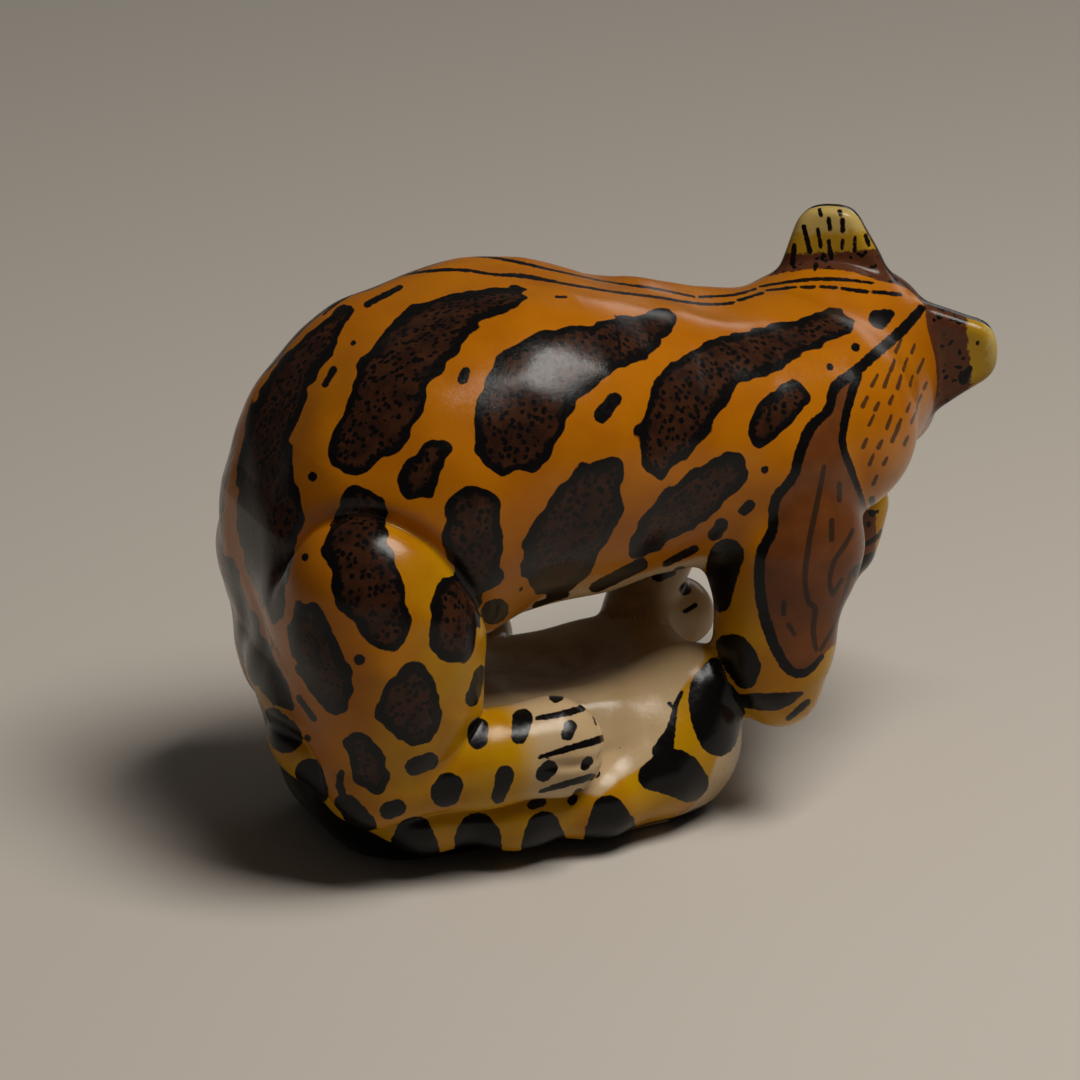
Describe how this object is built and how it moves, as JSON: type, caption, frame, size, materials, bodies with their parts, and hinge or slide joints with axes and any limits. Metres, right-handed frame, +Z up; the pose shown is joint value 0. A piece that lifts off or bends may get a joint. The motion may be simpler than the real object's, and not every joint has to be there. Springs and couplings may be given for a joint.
{
  "type": "carved wild cat figurine",
  "caption": "Small crouching spotted cat carved in tagua nut, back arched over a cream ground, head turned aside, tail wrapped round the foot.",
  "frame": {"origin": "centre of the flat face that the figure stands on", "axes": "+X the way the body faces, +Y to the cat's left, +Z up"},
  "size_m": [0.0525, 0.0296, 0.0365],
  "materials": {
    "undyed_nut": "undyed vegetable ivory, polished",
    "dyed_orange": "orange dye with black and brown ink spots under clear gloss",
    "dyed_yellow": "yellow dye with black ink spots under clear gloss",
    "dyed_brown": "brown dye with black ink lines under clear gloss"
  },
  "bodies": {
    "root": {"base": "undyed_nut", "torso": "dyed_orange", "head": "dyed_brown", "muzzle": "undyed_nut", "left_ear": "dyed_brown", "right_ear": "dyed_brown", "right_upper_arm": "dyed_brown", "right_forearm": "dyed_yellow", "right_forepaw": "dyed_yellow", "left_foreleg": "dyed_orange", "left_forepaw": "undyed_nut", "right_thigh": "dyed_orange", "right_hind_foot": "dyed_yellow", "left_thigh": "dyed_orange", "left_hind_foot": "dyed_yellow", "tail": "dyed_yellow"}
  },
  "joints": []
}
